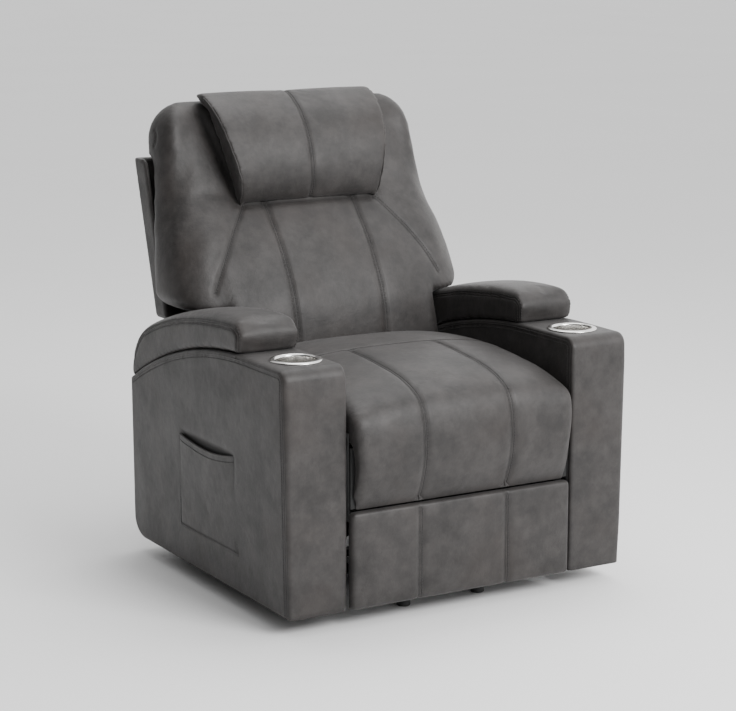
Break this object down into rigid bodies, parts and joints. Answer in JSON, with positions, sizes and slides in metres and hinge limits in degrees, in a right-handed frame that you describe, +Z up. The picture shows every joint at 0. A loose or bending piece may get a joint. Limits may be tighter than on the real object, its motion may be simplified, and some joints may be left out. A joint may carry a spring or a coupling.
{
  "type": "power recliner armchair",
  "caption": "Upholstered power recliner: tilting seat, reclining winged back, swing-out footrest, padded arms with cup wells, head pillow and side pocket.",
  "frame": {"origin": "on the floor, in the middle of the outline seen from above", "axes": "+Z up, +Y from the front of the chair to its back, +X to the left of a person sitting in it"},
  "size_m": [0.871, 0.9361, 1.091],
  "materials": {
    "leather": "dark warm-grey upholstery leather, mottled, soft sheen",
    "wood_board": "raw plywood",
    "steel_bright": "bright pressed stainless steel",
    "glide_plastic": "black moulded plastic",
    "black_plastic": "fine-textured black plastic",
    "zinc_steel": "zinc-plated steel",
    "black_steel": "black powder coat"
  },
  "bodies": {
    "base": {"base_runner_left": "black_steel", "base_runner_right": "black_steel", "base_cross_front": "black_steel", "base_cross_rear": "black_steel", "floor_glides": "glide_plastic", "base_side_plate_left": "black_steel", "base_side_plate_right": "black_steel", "base_pivot_pins": "zinc_steel", "actuator_anchor": "black_steel", "control_box": "black_plastic", "power_inlet": "zinc_steel", "rear_skirt": "leather", "arm_cover_left": "leather", "arm_cover_right": "leather", "arm_frame_left": "wood_board", "arm_frame_right": "wood_board", "arm_pad_left": "leather", "arm_pad_right": "leather", "cup_holder_left": "steel_bright", "cup_holder_right": "steel_bright", "side_pocket": "leather", "switch_panel": "black_plastic"},
    "seat": {"seat_rail_left": "black_steel", "seat_rail_right": "black_steel", "seat_cross_front": "black_steel", "seat_cross_rear": "black_steel", "back_hinge_brackets": "black_steel", "back_pins": "zinc_steel", "seat_side_boards": "wood_board", "seat_front_board": "wood_board", "seat_rear_board": "wood_board", "seat_springs": "zinc_steel", "seat_cushion": "leather", "tilt_clevis": "black_steel", "footrest_motor": "black_plastic"},
    "back": {"back_post_left": "black_steel", "back_post_right": "black_steel", "back_cross_lower": "black_steel", "back_cross_upper": "black_steel", "back_springs": "zinc_steel", "back_link_pins": "zinc_steel", "back_cushion": "leather", "back_shell": "leather", "head_pillow": "leather"},
    "recline_links": {"recline_links": "black_steel"},
    "footrest_arms": {"torque_tube": "black_steel", "footrest_arm_left": "black_steel", "footrest_arm_right": "black_steel", "knee_pins": "zinc_steel"},
    "footrest_links": {"footrest_link_left": "black_steel", "footrest_link_right": "black_steel"},
    "footrest": {"footrest_brackets": "black_steel", "footrest_board": "wood_board", "footrest_pad": "leather"},
    "tilt_drive": {"tilt_motor": "black_plastic"},
    "tilt_drive_rod": {"tilt_rod": "zinc_steel"},
    "button_recline": {"button_recline": "black_plastic"},
    "button_upright": {"button_upright": "black_plastic"},
    "button_feet_up": {"button_feet_up": "black_plastic"},
    "button_feet_down": {"button_feet_down": "black_plastic"}
  },
  "joints": [
    {"name": "seat_tilt", "type": "hinge", "parent": "base", "child": "seat", "pos_m": [0, 0.0675, 0.225], "axis": [-1, 0, 0], "range_deg": [0, 12]},
    {"name": "back_recline", "type": "hinge", "parent": "seat", "child": "back", "pos_m": [0, 0.1325, 0.36], "axis": [-1, 0, 0], "range_deg": [0, 33]},
    {"name": "recline_link_swing", "type": "hinge", "parent": "base", "child": "recline_links", "pos_m": [0, 0.1027, 0.282], "axis": [-1, 0, 0], "range_deg": [0, 30.7]},
    {"name": "footrest_swing", "type": "hinge", "parent": "seat", "child": "footrest_arms", "pos_m": [0, -0.3125, 0.225], "axis": [-1, 0, 0], "range_deg": [0, 135]},
    {"name": "footrest_knee", "type": "hinge", "parent": "footrest_arms", "child": "footrest_links", "pos_m": [0, -0.15699, 0.09451], "axis": [-1, 0, 0], "range_deg": [-112.4, 0]},
    {"name": "footrest_turn", "type": "hinge", "parent": "footrest_links", "child": "footrest", "pos_m": [0, -0.3725, 0.205], "axis": [-1, 0, 0], "range_deg": [0, 67.4]},
    {"name": "tilt_drive_pivot", "type": "hinge", "parent": "base", "child": "tilt_drive", "pos_m": [0, -0.0025, 0.085], "axis": [-1, 0, 0], "range_deg": [0, 11.9]},
    {"name": "tilt_drive_slide", "type": "slide", "parent": "tilt_drive", "child": "tilt_drive_rod", "axis": [0, -0.9241, 0.382], "range_m": [0, 0.0328]},
    {"name": "button_recline_press", "type": "slide", "parent": "base", "child": "button_recline", "axis": [-1, 0, 0], "range_m": [0, 0.0012], "stiffness_N_per_m": 800, "springref_m": -0.0012},
    {"name": "button_upright_press", "type": "slide", "parent": "base", "child": "button_upright", "axis": [-1, 0, 0], "range_m": [0, 0.0012], "stiffness_N_per_m": 800, "springref_m": -0.0012},
    {"name": "button_feet_up_press", "type": "slide", "parent": "base", "child": "button_feet_up", "axis": [-1, 0, 0], "range_m": [0, 0.0012], "stiffness_N_per_m": 800, "springref_m": -0.0012},
    {"name": "button_feet_down_press", "type": "slide", "parent": "base", "child": "button_feet_down", "axis": [-1, 0, 0], "range_m": [0, 0.0012], "stiffness_N_per_m": 800, "springref_m": -0.0012}
  ],
  "couplings": [
    {"joint": "back_recline", "follows": "seat_tilt", "ratio": 2.75},
    {"joint": "recline_link_swing", "follows": "seat_tilt", "ratio": 2.5525},
    {"joint": "tilt_drive_pivot", "follows": "seat_tilt", "ratio": 0.98321},
    {"joint": "tilt_drive_slide", "follows": "seat_tilt", "m_per_rad": 0.15616},
    {"joint": "footrest_knee", "follows": "footrest_swing", "ratio": -0.83185},
    {"joint": "footrest_turn", "follows": "footrest_swing", "ratio": 0.49852}
  ]
}
